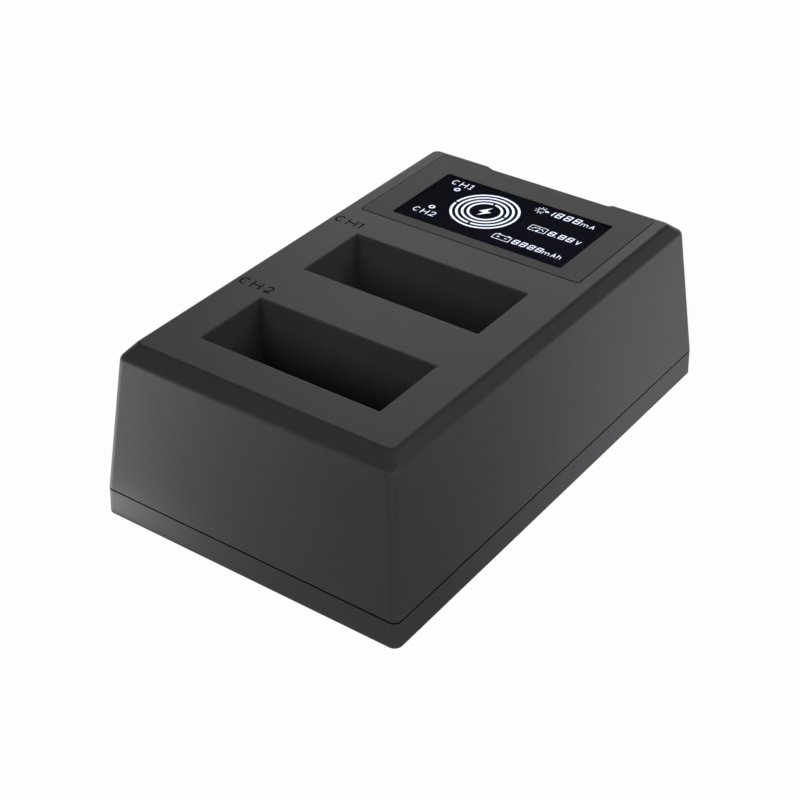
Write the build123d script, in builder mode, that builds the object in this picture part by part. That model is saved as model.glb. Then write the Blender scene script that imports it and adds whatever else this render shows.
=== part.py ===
# Camera battery charger: a tapered case with two battery bays, a display panel and a power inlet.
# Millimetres, origin at the middle of the underside, X to the right, Y to the back, Z up.
import os
from math import atan, degrees, radians, tan

from build123d import *

os.makedirs("parts", exist_ok=True)

# Battery bays
bay_w = 35.2            # across the case
bay_d = 15.0            # front to back
bay_depth = 21.35       # top face to bay floor
bay_wall = 1.5
bay_floor_t = 1.5
bay_edge_r = 0.3        # softened edge round the mouth

# Strips of top face that are left round the bays and the panel
front_strip = 7.15
bay_rib = 11.8
panel_strip = 8.0
rear_strip = 0.75
bay_side = 7.6
panel_side = 2.55

# Case walls
wall = 1.8
top_t = 1.8
lean = 6.35             # degrees that the walls lean inwards
bevel_h = 2.15          # sloped rim below the top face
bevel_side = 1.75
bevel_end = 2.65
corner_r = 1.3
top_edge_r = 1.0        # softened edge round the top face
rim_edge_r = 1.1        # softened edge below the sloped rim

# Base cover and seam
base_h = 4.9
base_t = 2.0
base_edge = 0.2
base_flare = 0.2        # how far the base runs out towards the table
seam_h = 0.3
seam_d = 0.5
lip_h = 1.6
lip_t = 1.0
lip_gap = 0.15
rest_w = 30.0           # ribs that hold the board up below the contacts
rest_t = 1.2

# Display panel and window
window_w = 35.1
window_l = 18.1
window_t = 1.0
window_r = 0.4
window_sink = 0.05
window_gap = 0.05
window_ledge = 0.9
window_ledge_t = 0.55
panel_border = 5.1
panel_front_border = 2.5
panel_rear_border = 6.05
panel_r = 0.6
panel_gap = 0.12
shelf_t = 1.6
shelf_edge = 1.0
peg_w = 1.6             # square pegs that place the panel in its shelf
peg_gap = 0.1
peg_end = 0.6           # how far a peg comes out below the shelf

# Readout stack below the window
cell_t = 1.6
cell_edge = 0.75        # how far the cell reaches past the window
guide_t = 2.2
frame_t = 0.85
frame_gap = 0.1
frame_top_gap = 0.2
strip_t = 1.4
strip_gap = 0.2
led_w = 1.6
led_l = 3.0
led_h = 1.4
led_pitch = 8.0
display_board_t = 1.2
display_board_edge = 0.6
display_chip_size = 6.0
display_chip_t = 1.2

# Main board and what stands on it
board_lift = 1.35       # lower edge of the shell to the underside of the board
board_t = 1.6
board_gap = 0.6
board_margin = 2.6      # board left outside its screws
floor_gap = 1.5         # board to the underside of the bay floors
part_gap = 1.0
control_size = 9.0
control_t = 1.4
charge_w = 5.0
charge_l = 6.0
charge_t = 1.5
chip_edge = 0.25
inductor_size = 7.0
inductor_h = 4.0
inductor_corner = 1.2
capacitor_r = 3.15
capacitor_h = 7.7
capacitor_foot_h = 1.2
capacitor_foot_edge = 0.25

# Battery contacts
contact_count = 3
contact_pitch = 5.0
leaf_w = 1.5
leaf_t = 0.25
leaf_reach = 1.8        # foot and crown, front to back
leaf_rise = 1.8         # crown above the bay floor
leaf_peak = 0.7         # crown above its shoulders
leaf_gap = 0.2
block_d = 4.0
block_end = 1.5         # block left outside the outer leaves
block_flange = 1.2
block_gap = 0.2

# Ribbon between the boards
ribbon_w = 10.0
ribbon_t = 0.3
ribbon_r = 1.5
ribbon_bow = 4.5        # how far the ribbon stands in front of its sockets
socket_l = 4.0
socket_h = 1.8
socket_end = 1.5
socket_depth = 2.5
socket_gap = 0.05

# Power inlet
recess_w = 27.0
recess_r = 0.5
sill_t = 1.2
usb_w = 8.9
usb_h = 3.2
usb_l = 7.4
usb_t = 0.3
usb_r = 1.45
usb_sink = 0.3
usb_gap = 0.25
tongue_w = 6.7
tongue_t = 0.7
tongue_sink = 0.8       # tongue end behind the mouth
tongue_back = 2.0
tongue_gap = 0.05

# Screws
base_head_r = 2.2
base_head_h = 1.5
base_shank_r = 1.1
base_reach = 10.0       # seat of the head to the end of the shank
base_seat = 2.6         # underside to the seat of the head
board_head_r = 1.8
board_head_h = 1.2
board_shank_r = 0.9
board_reach = 6.0
display_reach = 3.4
head_gap = 0.3          # round a head in its recess
hole_gap = 0.25         # round a shank in a cover or board
pilot_gap = 0.05        # round a shank in a boss
pilot_end = 0.6         # pilot hole past the end of the screw
base_boss_w = 5.6
board_boss_w = 4.8
display_boss_w = 4.2
post_w = 6.4
boss_gap = 0.25

# Levels, from the table up
shell_z = base_h + seam_h
board_z = shell_z + board_lift
board_top = board_z + board_t
bay_floor_z = board_top + floor_gap + bay_floor_t
case_h = bay_floor_z + bay_depth
rim_z = case_h - bevel_h
ceiling_z = case_h - top_t
window_z = case_h - window_sink - window_t
panel_t = window_sink + window_t + window_ledge_t
panel_z = case_h - panel_t
shelf_z = panel_z - shelf_t
cell_z = panel_z - cell_t
display_board_top = cell_z - guide_t
display_board_z = display_board_top - display_board_t

# Plan: the top face is laid out first, and the sloped walls run out from it
slope = tan(radians(lean))
wall_run = (rim_z - shell_z) * slope
panel_w = window_w + 2 * panel_border
panel_l = panel_front_border + window_l + panel_rear_border
top_w = max(bay_w + 2 * bay_side, panel_w + 2 * panel_side)
top_l = front_strip + 2 * bay_d + bay_rib + panel_strip + panel_l + rear_strip
rim_w = top_w + 2 * bevel_side
rim_l = top_l + 2 * bevel_end
case_w = rim_w + 2 * wall_run
case_l = rim_l + 2 * wall_run
front_bay_y = -top_l / 2 + front_strip + bay_d / 2
rear_bay_y = front_bay_y + bay_d + bay_rib
panel_front = rear_bay_y + bay_d / 2 + panel_strip
panel_rear = panel_front + panel_l
panel_y = (panel_front + panel_rear) / 2
window_y = panel_front + panel_front_border + window_l / 2
recess_y = panel_rear + panel_gap
bay_spots = [(0, front_bay_y), (0, rear_bay_y)]

# Readout stack in plan
cell_w = window_w + 2 * cell_edge
cell_l = window_l + 2 * cell_edge
frame_w = cell_w + 2 * (frame_gap + frame_t)
frame_l = cell_l + 2 * (frame_gap + frame_t)
strip_front = window_y - cell_l / 2 + strip_gap
guide_front = strip_front + strip_t + strip_gap
guide_rear = window_y + cell_l / 2
guide_left = -cell_w / 2 + led_w + strip_gap
display_screw_x = frame_w / 2 + boss_gap + display_boss_w / 2
display_board_w = 2 * display_screw_x + display_boss_w
display_board_l = frame_l + 2 * display_board_edge
display_screw_spots = [(-display_screw_x, window_y), (display_screw_x, window_y)]
peg_y = frame_l / 2 - peg_w
peg_spots = [(x, window_y + y) for x in (-display_screw_x, display_screw_x) for y in (-peg_y, peg_y)]

# Screw places in the corners and beside the bays
base_inset = wall + lip_gap + lip_t + boss_gap + base_boss_w / 2
base_screw_x = case_w / 2 - base_inset
base_screw_y = case_l / 2 - base_inset
base_screw_spots = [(x, y) for x in (-base_screw_x, base_screw_x) for y in (-base_screw_y, base_screw_y)]
board_screw_x = bay_w / 2 + bay_wall + boss_gap + board_boss_w / 2
board_screw_y = (front_bay_y + rear_bay_y) / 2
board_screw_spots = [(-board_screw_x, board_screw_y), (board_screw_x, board_screw_y)]
board_w = 2 * (board_screw_x + board_margin)
board_l = 2 * (base_screw_y - base_boss_w / 2 - board_gap)

# Base cover
inside_w = case_w - 2 * (wall + lip_gap + lip_t)
inside_l = case_l - 2 * (wall + lip_gap + lip_t)
lip_w = inside_w + 2 * lip_t
lip_l = inside_l + 2 * lip_t
with BuildPart() as base_cover:
    with BuildSketch():
        RectangleRounded(case_w + 2 * base_flare, case_l + 2 * base_flare, corner_r + base_flare)
    extrude(amount=base_h, taper=degrees(atan(base_flare / base_h)))
    chamfer(base_cover.edges().group_by(Axis.Z)[0], length=base_edge)
    # Ledge that carries the shell, set back so that a dark seam is left
    with BuildSketch(Plane.XY.offset(base_h)):
        RectangleRounded(case_w - 2 * seam_d, case_l - 2 * seam_d, corner_r - seam_d)
    extrude(amount=seam_h)
    # Lip that centres the shell
    with BuildSketch(Plane.XY.offset(shell_z)):
        Rectangle(lip_w, lip_l)
    extrude(amount=lip_h, taper=lean)
    with BuildSketch(Plane.XY.offset(base_t)):
        Rectangle(inside_w, inside_l)
    extrude(amount=shell_z + lip_h - base_t, mode=Mode.SUBTRACT)
    # Way for the walls of the port recess
    with BuildSketch(Plane.XY.offset(shell_z)):
        with Locations((0, case_l / 2)):
            Rectangle(recess_w + 2 * (wall + lip_gap), 2 * (case_l - inside_l))
    extrude(amount=lip_h, mode=Mode.SUBTRACT)
    # Ribs below the contacts and posts below the shell's corner bosses
    with BuildSketch(Plane.XY.offset(base_t)):
        with Locations(*bay_spots):
            Rectangle(rest_w, rest_t)
    extrude(amount=board_z - base_t)
    with BuildSketch(Plane.XY.offset(base_t)):
        with Locations(*base_screw_spots):
            Rectangle(post_w, post_w)
    extrude(amount=shell_z - base_t)
    with BuildSketch():
        with Locations(*base_screw_spots):
            Circle(base_head_r + head_gap)
    extrude(amount=base_seat, mode=Mode.SUBTRACT)
    with BuildSketch(Plane.XY.offset(base_seat)):
        with Locations(*base_screw_spots):
            Circle(base_shank_r + hole_gap)
    extrude(amount=shell_z - base_seat, mode=Mode.SUBTRACT)
base_cover.part.label = "base_cover"
export_step(base_cover.part, "parts/base_cover.step")

# Empty space inside the upper shell: the cavity less the bays, bosses, shelf and recess walls
shelf_w = panel_w + 2 * (panel_gap + shelf_edge)
shelf_front = panel_front - panel_gap - shelf_edge
with BuildPart() as cavity:
    with BuildSketch(Plane.XY.offset(shell_z)):
        Rectangle(case_w - 2 * wall, case_l - 2 * wall)
    extrude(amount=ceiling_z - shell_z, taper=lean)
    with BuildSketch(Plane.XY.offset(bay_floor_z - bay_floor_t)):
        with Locations(*bay_spots):
            Rectangle(bay_w + 2 * bay_wall, bay_d + 2 * bay_wall)
    extrude(amount=bay_floor_t + bay_depth, mode=Mode.SUBTRACT)
    with BuildSketch(Plane.XY.offset(shell_z)):
        with Locations(*base_screw_spots):
            Rectangle(base_boss_w, base_boss_w)
    extrude(amount=case_h - shell_z, mode=Mode.SUBTRACT)
    with BuildSketch(Plane.XY.offset(board_top)):
        with Locations(*board_screw_spots):
            Rectangle(board_boss_w, board_boss_w)
    extrude(amount=case_h - board_top, mode=Mode.SUBTRACT)
    with BuildSketch(Plane.XY.offset(shell_z)):
        with Locations((0, case_l / 2)):
            Rectangle(recess_w + 2 * wall, 2 * (case_l / 2 - recess_y + wall))
    extrude(amount=case_h - shell_z, mode=Mode.SUBTRACT)
    with BuildSketch(Plane.XY.offset(shelf_z)):
        with Locations((0, case_l / 2)):
            Rectangle(shelf_w, 2 * (case_l / 2 - shelf_front))
    extrude(amount=case_h - shelf_z, mode=Mode.SUBTRACT)
    with BuildSketch(Plane.XY.offset(display_board_top)):
        with Locations(*display_screw_spots):
            Rectangle(display_boss_w, display_boss_w)
    extrude(amount=case_h - display_board_top, mode=Mode.SUBTRACT)

# Upper shell
block_w = (contact_count - 1) * contact_pitch + leaf_w + 2 * block_end
usb_z = board_top + usb_h / 2
tiers = [(shell_z, case_w, case_l, wall_run, wall_run, rim_z - shell_z),
         (rim_z, rim_w, rim_l, bevel_side, bevel_end, bevel_h)]
with BuildPart() as upper_shell:
    with BuildSketch(Plane.XY.offset(shell_z)):
        Rectangle(case_w, case_l)
    extrude(amount=case_h - shell_z, taper=lean)
    # Sloped rim, cut along both sides and then along both ends
    with BuildSketch(Plane.XZ):
        with BuildLine():
            Polyline((rim_w / 2, rim_z), (top_w / 2, case_h), (rim_w / 2, case_h), close=True)
        make_face()
        mirror(about=Plane.YZ)
    extrude(amount=case_l, both=True, mode=Mode.SUBTRACT)
    with BuildSketch(Plane.YZ):
        with BuildLine():
            Polyline((rim_l / 2, rim_z), (top_l / 2, case_h), (rim_l / 2, case_h), close=True)
        make_face()
        mirror(about=Plane.YZ)
    extrude(amount=case_w, both=True, mode=Mode.SUBTRACT)
    # Corners, rounded along the lean of the walls and then of the rim
    for level, width, length, run_x, run_y, rise in tiers:
        for side, end in ((-1, -1), (1, -1), (1, 1), (-1, 1)):
            way = Vector(-side * run_x, -end * run_y, rise)
            with BuildSketch(Plane.XY.offset(level)):
                with Locations((side * (width - corner_r) / 2, end * (length - corner_r) / 2)):
                    Rectangle(corner_r, corner_r)
                with Locations((side * (width / 2 - corner_r), end * (length / 2 - corner_r))):
                    Circle(corner_r, mode=Mode.SUBTRACT)
            extrude(amount=way.length, dir=way.normalized(), mode=Mode.SUBTRACT)
    fillet(upper_shell.edges().filter_by_position(Axis.Z, rim_z, rim_z), radius=rim_edge_r)
    fillet(upper_shell.edges().group_by(Axis.Z)[-1], radius=top_edge_r)
    add(cavity.part, mode=Mode.SUBTRACT)
    # Battery bays with a way through the floor for the contact blocks
    with BuildSketch(Plane.XY.offset(bay_floor_z)):
        with Locations(*bay_spots):
            Rectangle(bay_w, bay_d)
    extrude(amount=bay_depth, mode=Mode.SUBTRACT)
    mouth_edges = upper_shell.edges().filter_by_position(Axis.Z, case_h, case_h)
    fillet(mouth_edges.filter_by(lambda edge: abs(edge.center().X) < top_w / 2 - bay_side / 2
                                 and edge.center().Y < panel_front
                                 and edge.center().Y > -top_l / 2 + front_strip / 2), radius=bay_edge_r)
    with BuildSketch(Plane.XY.offset(bay_floor_z - bay_floor_t)):
        with Locations(*bay_spots):
            Rectangle(block_w + 2 * block_gap, block_d + 2 * block_gap)
    extrude(amount=bay_floor_t, mode=Mode.SUBTRACT)
    # Pocket and shelf for the display panel
    with BuildSketch(Plane.XY.offset(panel_z)):
        with Locations((0, panel_y)):
            RectangleRounded(panel_w + 2 * panel_gap, panel_l + 2 * panel_gap, panel_r + panel_gap)
    extrude(amount=panel_t, mode=Mode.SUBTRACT)
    with BuildSketch(Plane.XY.offset(shelf_z)):
        with Locations((0, window_y)):
            Rectangle(frame_w + 2 * boss_gap, frame_l + 2 * boss_gap)
        with Locations(*peg_spots):
            Rectangle(peg_w + 2 * peg_gap, peg_w + 2 * peg_gap)
    extrude(amount=shelf_t, mode=Mode.SUBTRACT)
    # Port recess, with upright face for the inlet
    with BuildSketch(Plane.XY.offset(shell_z + sill_t)):
        with Locations((0, case_l / 2)):
            RectangleRounded(recess_w, 2 * (case_l / 2 - recess_y), recess_r)
    extrude(amount=case_h - shell_z - sill_t, mode=Mode.SUBTRACT)
    with BuildSketch(Plane.XZ.offset(-recess_y)):
        with Locations((0, usb_z)):
            RectangleRounded(usb_w + 2 * usb_gap, usb_h + 2 * usb_gap, usb_r + usb_gap)
    extrude(amount=wall, mode=Mode.SUBTRACT)
    # Pilot holes
    with BuildSketch(Plane.XY.offset(shell_z)):
        with Locations(*base_screw_spots):
            Circle(base_shank_r + pilot_gap)
    extrude(amount=base_seat + base_reach + pilot_end - shell_z, mode=Mode.SUBTRACT)
    with BuildSketch(Plane.XY.offset(board_top)):
        with Locations(*board_screw_spots):
            Circle(board_shank_r + pilot_gap)
    extrude(amount=board_z + board_reach + pilot_end - board_top, mode=Mode.SUBTRACT)
    with BuildSketch(Plane.XY.offset(display_board_top)):
        with Locations(*display_screw_spots):
            Circle(board_shank_r + pilot_gap)
    extrude(amount=display_board_z + display_reach + pilot_end - display_board_top, mode=Mode.SUBTRACT)
upper_shell.part.label = "upper_shell"
export_step(upper_shell.part, "parts/upper_shell.step")

# Display panel
with BuildPart() as display_panel:
    with BuildSketch(Plane.XY.offset(panel_z)):
        with Locations((0, panel_y)):
            RectangleRounded(panel_w, panel_l, panel_r)
    extrude(amount=panel_t)
    with BuildSketch(Plane.XY.offset(window_z)):
        with Locations((0, window_y)):
            RectangleRounded(window_w + 2 * window_gap, window_l + 2 * window_gap, window_r + window_gap)
    extrude(amount=window_t + window_sink, mode=Mode.SUBTRACT)
    with BuildSketch(Plane.XY.offset(panel_z)):
        with Locations((0, window_y)):
            Rectangle(window_w - 2 * window_ledge, window_l - 2 * window_ledge)
    extrude(amount=window_ledge_t, mode=Mode.SUBTRACT)
    with BuildSketch(Plane.XY.offset(panel_z)):
        with Locations(*peg_spots):
            Rectangle(peg_w, peg_w)
    extrude(amount=-(shelf_t + peg_end))
display_panel.part.label = "display_panel"
export_step(display_panel.part, "parts/display_panel.step")

# Display window
with BuildPart() as display_window:
    with BuildSketch(Plane.XY.offset(window_z)):
        with Locations((0, window_y)):
            RectangleRounded(window_w, window_l, window_r)
    extrude(amount=window_t)
display_window.part.label = "display_window"
export_step(display_window.part, "parts/display_window.step")

# Readout cell
with BuildPart() as lcd_cell:
    with BuildSketch(Plane.XY.offset(cell_z)):
        with Locations((0, window_y)):
            Rectangle(cell_w, cell_l)
    extrude(amount=cell_t)
lcd_cell.part.label = "lcd_cell"
export_step(lcd_cell.part, "parts/lcd_cell.step")

# Light guide below the cell
with BuildPart() as lcd_backlight:
    with BuildSketch(Plane.XY.offset(display_board_top)):
        with Locations(((guide_left + cell_w / 2) / 2, (guide_front + guide_rear) / 2)):
            Rectangle(cell_w / 2 - guide_left, guide_rear - guide_front)
    extrude(amount=guide_t)
lcd_backlight.part.label = "lcd_backlight"
export_step(lcd_backlight.part, "parts/lcd_backlight.step")

# Lamps at the end of the light guide
with BuildPart() as backlight_leds:
    with BuildSketch(Plane.XY.offset(display_board_top)):
        with Locations((-cell_w / 2 + led_w / 2, (guide_front + guide_rear) / 2)):
            with GridLocations(0, led_pitch, 1, 2):
                Rectangle(led_w, led_l)
    extrude(amount=led_h)
backlight_leds.part.label = "backlight_leds"
export_step(backlight_leds.part, "parts/backlight_leds.step")

# Elastomer strip that joins the cell to its board
with BuildPart() as lcd_strip:
    with BuildSketch(Plane.XY.offset(display_board_top)):
        with Locations((0, strip_front + strip_t / 2)):
            Rectangle(cell_w - 2 * strip_gap, strip_t)
    extrude(amount=guide_t)
lcd_strip.part.label = "lcd_strip"
export_step(lcd_strip.part, "parts/lcd_strip.step")

# Frame round the readout
with BuildPart() as lcd_frame:
    with BuildSketch(Plane.XY.offset(display_board_top)):
        with Locations((0, window_y)):
            Rectangle(frame_w, frame_l)
            Rectangle(cell_w + 2 * frame_gap, cell_l + 2 * frame_gap, mode=Mode.SUBTRACT)
    extrude(amount=panel_z - frame_top_gap - display_board_top)
lcd_frame.part.label = "lcd_frame"
export_step(lcd_frame.part, "parts/lcd_frame.step")

# Display board
with BuildPart() as display_board:
    with BuildSketch(Plane.XY.offset(display_board_z)):
        with Locations((0, window_y)):
            Rectangle(display_board_w, display_board_l)
        with Locations(*display_screw_spots):
            Circle(board_shank_r + hole_gap, mode=Mode.SUBTRACT)
    extrude(amount=display_board_t)
display_board.part.label = "display_board"
export_step(display_board.part, "parts/display_board.step")

# Driver chip below the display board
with BuildPart() as display_chip:
    with BuildSketch(Plane.XY.offset(display_board_z)):
        with Locations((0, window_y)):
            Rectangle(display_chip_size, display_chip_size)
    extrude(amount=-display_chip_t)
    chamfer(display_chip.edges().group_by(Axis.Z)[0], length=chip_edge)
display_chip.part.label = "display_chip"
export_step(display_chip.part, "parts/display_chip.step")

# Sockets for the ribbon, one below the display board and one on the main board
socket_front = window_y - display_board_l / 2 + part_gap
socket_w = ribbon_w + 2 * socket_end
socket_levels = (display_board_z - socket_h, board_top)
with BuildPart() as ribbon_sockets:
    for level in socket_levels:
        with BuildSketch(Plane.XY.offset(level)):
            with Locations((0, socket_front + socket_l / 2)):
                Rectangle(socket_w, socket_l)
        extrude(amount=socket_h)
    for level in socket_levels:
        with BuildSketch(Plane.XZ.offset(-socket_front)):
            with Locations((0, level + socket_h / 2)):
                Rectangle(ribbon_w + 2 * socket_gap, ribbon_t + 2 * socket_gap)
        extrude(amount=-socket_depth, mode=Mode.SUBTRACT)
ribbon_sockets.part.label = "ribbon_sockets"
export_step(ribbon_sockets.part, "parts/ribbon_sockets.step")

# Flat ribbon that bows forward between the two sockets
ribbon_end = socket_front + socket_depth - socket_gap
ribbon_y = socket_front - ribbon_bow
ribbon_zs = [level + socket_h / 2 for level in socket_levels]
with BuildPart() as ribbon_cable:
    with BuildSketch(Plane.YZ):
        with BuildLine():
            FilletPolyline((ribbon_end, ribbon_zs[0]), (ribbon_y, ribbon_zs[0]),
                           (ribbon_y, ribbon_zs[1]), (ribbon_end, ribbon_zs[1]), radius=ribbon_r)
        trace(line_width=ribbon_t)
    extrude(amount=ribbon_w / 2, both=True)
ribbon_cable.part.label = "ribbon_cable"
export_step(ribbon_cable.part, "parts/ribbon_cable.step")

# Main board
with BuildPart() as main_board:
    with BuildSketch(Plane.XY.offset(board_z)):
        Rectangle(board_w, board_l)
        with Locations(*board_screw_spots):
            Circle(board_shank_r + hole_gap, mode=Mode.SUBTRACT)
    extrude(amount=board_t)
main_board.part.label = "main_board"
export_step(main_board.part, "parts/main_board.step")

# Contact blocks and sprung leaves, one set in each bay floor
leaf_xs = [(i - (contact_count - 1) / 2) * contact_pitch for i in range(contact_count)]
slot_w = leaf_w + 2 * leaf_gap
slot_d = leaf_reach + 2 * leaf_gap
crown_z = bay_floor_z + leaf_rise
shoulder_z = crown_z - leaf_peak
tail_z = bay_floor_z + leaf_gap
for bay_name, bay_y in (("ch2", front_bay_y), ("ch1", rear_bay_y)):
    with BuildPart() as contact_block:
        with BuildSketch(Plane.XY.offset(board_top)):
            with Locations((0, bay_y)):
                Rectangle(block_w + 2 * block_flange, block_d + 2 * block_flange)
        extrude(amount=floor_gap)
        with BuildSketch(Plane.XY.offset(board_top + floor_gap)):
            with Locations((0, bay_y)):
                Rectangle(block_w, block_d)
        extrude(amount=bay_floor_t)
        with BuildSketch(Plane.XY.offset(board_top)):
            with Locations(*[(x, bay_y) for x in leaf_xs]):
                Rectangle(slot_w, slot_d)
        extrude(amount=floor_gap + bay_floor_t, mode=Mode.SUBTRACT)
    contact_block.part.label = f"{bay_name}_contact_block"
    export_step(contact_block.part, f"parts/{bay_name}_contact_block.step")

    # Each leaf stands on its foot, rises through its slot and folds over in a sprung crown
    leaf_front = bay_y - leaf_reach / 2
    leaf_rear = bay_y + leaf_reach / 2
    with BuildPart() as contacts:
        with BuildSketch(*[Plane.YZ.offset(x) for x in leaf_xs]):
            with BuildLine():
                Polyline((leaf_front, board_top), (leaf_rear, board_top), (leaf_rear, shoulder_z),
                         (bay_y, crown_z), (leaf_front, shoulder_z), (leaf_front, tail_z))
                offset(amount=leaf_t, side=Side.LEFT, kind=Kind.INTERSECTION)
            make_face()
        extrude(amount=leaf_w / 2, both=True)
    contacts.part.label = f"{bay_name}_contacts"
    export_step(contacts.part, f"parts/{bay_name}_contacts.step")

# Power inlet: folded metal shell with its tongue
usb_mouth = recess_y - usb_sink
with BuildPart() as usb_shell:
    with BuildSketch(Plane.XZ.offset(-usb_mouth)):
        with Locations((0, usb_z)):
            RectangleRounded(usb_w, usb_h, usb_r)
            RectangleRounded(usb_w - 2 * usb_t, usb_h - 2 * usb_t, usb_r - usb_t, mode=Mode.SUBTRACT)
    extrude(amount=usb_l)
usb_shell.part.label = "usb_shell"
export_step(usb_shell.part, "parts/usb_shell.step")

usb_back = usb_mouth - usb_l
tongue_inset = usb_t + tongue_gap
with BuildPart() as usb_tongue:
    with BuildSketch(Plane.XZ.offset(-usb_back - tongue_back)):
        with Locations((0, usb_z)):
            RectangleRounded(usb_w - 2 * tongue_inset, usb_h - 2 * tongue_inset, usb_r - tongue_inset)
    extrude(amount=tongue_back)
    with BuildSketch(Plane.XZ.offset(tongue_sink - usb_mouth)):
        with Locations((0, usb_z)):
            Rectangle(tongue_w, tongue_t)
    extrude(amount=usb_l - tongue_back - tongue_sink)
usb_tongue.part.label = "usb_tongue"
export_step(usb_tongue.part, "parts/usb_tongue.step")

# Chips
control_y = socket_front + socket_l + part_gap + control_size / 2
with BuildPart() as control_chip:
    with BuildSketch(Plane.XY.offset(board_top)):
        with Locations((0, control_y)):
            Rectangle(control_size, control_size)
    extrude(amount=control_t)
    chamfer(control_chip.edges().group_by(Axis.Z)[-1], length=chip_edge)
control_chip.part.label = "control_chip"
export_step(control_chip.part, "parts/control_chip.step")

charge_x = socket_w / 2 + part_gap + charge_w / 2
with BuildPart() as charge_chips:
    with BuildSketch(Plane.XY.offset(board_top)):
        with Locations((-charge_x, control_y), (charge_x, control_y)):
            Rectangle(charge_w, charge_l)
    extrude(amount=charge_t)
    chamfer(charge_chips.edges().group_by(Axis.Z)[-1], length=chip_edge)
charge_chips.part.label = "charge_chips"
export_step(charge_chips.part, "parts/charge_chips.step")

# Inductors beside the inlet, and capacitors outside them
rear_row_y = board_l / 2 - part_gap - inductor_size / 2
inductor_x = usb_w / 2 + 2 * part_gap + inductor_size / 2
inductor_spots = [(-inductor_x, rear_row_y), (inductor_x, rear_row_y)]
with BuildPart() as power_inductors:
    with BuildSketch(Plane.XY.offset(board_top)):
        with Locations(*inductor_spots):
            Rectangle(inductor_size, inductor_size)
    extrude(amount=inductor_h)
    chamfer(power_inductors.edges().filter_by(Axis.Z), length=inductor_corner)
power_inductors.part.label = "power_inductors"
export_step(power_inductors.part, "parts/power_inductors.step")

capacitor_x = inductor_x + inductor_size / 2 + part_gap + capacitor_r + capacitor_foot_edge
capacitor_spots = [(-capacitor_x, rear_row_y), (capacitor_x, rear_row_y)]
with BuildPart() as bulk_capacitors:
    with BuildSketch(Plane.XY.offset(board_top)):
        with Locations(*capacitor_spots):
            Rectangle(2 * (capacitor_r + capacitor_foot_edge), 2 * (capacitor_r + capacitor_foot_edge))
    extrude(amount=capacitor_foot_h)
    with BuildSketch(Plane.XY.offset(board_top + capacitor_foot_h)):
        with Locations(*capacitor_spots):
            Circle(capacitor_r)
    extrude(amount=capacitor_h - capacitor_foot_h)
bulk_capacitors.part.label = "bulk_capacitors"
export_step(bulk_capacitors.part, "parts/bulk_capacitors.step")


# Screws driven from below: heads hang under the seat, shanks reach up from it
def screws(spots, seat_z, head_r, head_h, shank_r, reach):
    with BuildPart() as group:
        with BuildSketch(Plane.XY.offset(seat_z)):
            with Locations(*spots):
                Circle(head_r)
        extrude(amount=-head_h)
        with BuildSketch(Plane.XY.offset(seat_z)):
            with Locations(*spots):
                Circle(shank_r)
        extrude(amount=reach)
    return group


base_screws = screws(base_screw_spots, base_seat, base_head_r, base_head_h, base_shank_r, base_reach)
base_screws.part.label = "base_screws"
export_step(base_screws.part, "parts/base_screws.step")

board_screws = screws(board_screw_spots, board_z, board_head_r, board_head_h, board_shank_r, board_reach)
board_screws.part.label = "board_screws"
export_step(board_screws.part, "parts/board_screws.step")

display_screws = screws(display_screw_spots, display_board_z, board_head_r, board_head_h,
                        board_shank_r, display_reach)
display_screws.part.label = "display_screws"
export_step(display_screws.part, "parts/display_screws.step")
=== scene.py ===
from math import cos, degrees, hypot, radians, sin

import bmesh
import bpy
from mathutils import Matrix, Vector


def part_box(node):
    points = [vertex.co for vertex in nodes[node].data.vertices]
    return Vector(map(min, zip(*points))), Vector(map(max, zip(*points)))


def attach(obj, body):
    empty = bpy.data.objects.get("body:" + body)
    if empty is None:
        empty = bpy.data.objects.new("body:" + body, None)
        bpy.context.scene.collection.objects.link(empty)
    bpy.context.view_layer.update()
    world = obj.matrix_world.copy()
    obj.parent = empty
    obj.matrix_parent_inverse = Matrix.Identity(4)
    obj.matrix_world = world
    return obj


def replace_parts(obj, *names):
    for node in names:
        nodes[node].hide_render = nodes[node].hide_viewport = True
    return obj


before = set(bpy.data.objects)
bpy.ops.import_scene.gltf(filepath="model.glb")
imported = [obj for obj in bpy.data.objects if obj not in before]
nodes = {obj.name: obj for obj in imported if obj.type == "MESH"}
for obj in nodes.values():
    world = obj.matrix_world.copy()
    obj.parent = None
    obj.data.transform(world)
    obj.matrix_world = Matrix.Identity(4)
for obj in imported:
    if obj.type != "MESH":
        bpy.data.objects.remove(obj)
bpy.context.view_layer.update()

MM = 0.001
scene = bpy.context.scene


class Signal:
    """A value that changes over a surface. Arithmetic on it adds Math nodes."""

    def __init__(self, graph, socket):
        self.graph = graph
        self.socket = socket

    def join(self, operation, first, second):
        return self.graph.node("ShaderNodeMath", {"operation": operation}, {0: first, 1: second})

    def __add__(self, other):
        return self.join("ADD", self, other)

    def __radd__(self, other):
        return self.join("ADD", other, self)

    def __sub__(self, other):
        return self.join("SUBTRACT", self, other)

    def __rsub__(self, other):
        return self.join("SUBTRACT", other, self)

    def __mul__(self, other):
        return self.join("MULTIPLY", self, other)

    def __rmul__(self, other):
        return self.join("MULTIPLY", other, self)

    def __truediv__(self, other):
        return self.join("DIVIDE", self, other)

    def __pow__(self, other):
        return self.join("POWER", self, other)

    def __rpow__(self, other):
        return self.join("POWER", other, self)

    def most(self, other):
        return self.join("MAXIMUM", self, other)

    def least(self, other):
        return self.join("MINIMUM", self, other)


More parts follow.
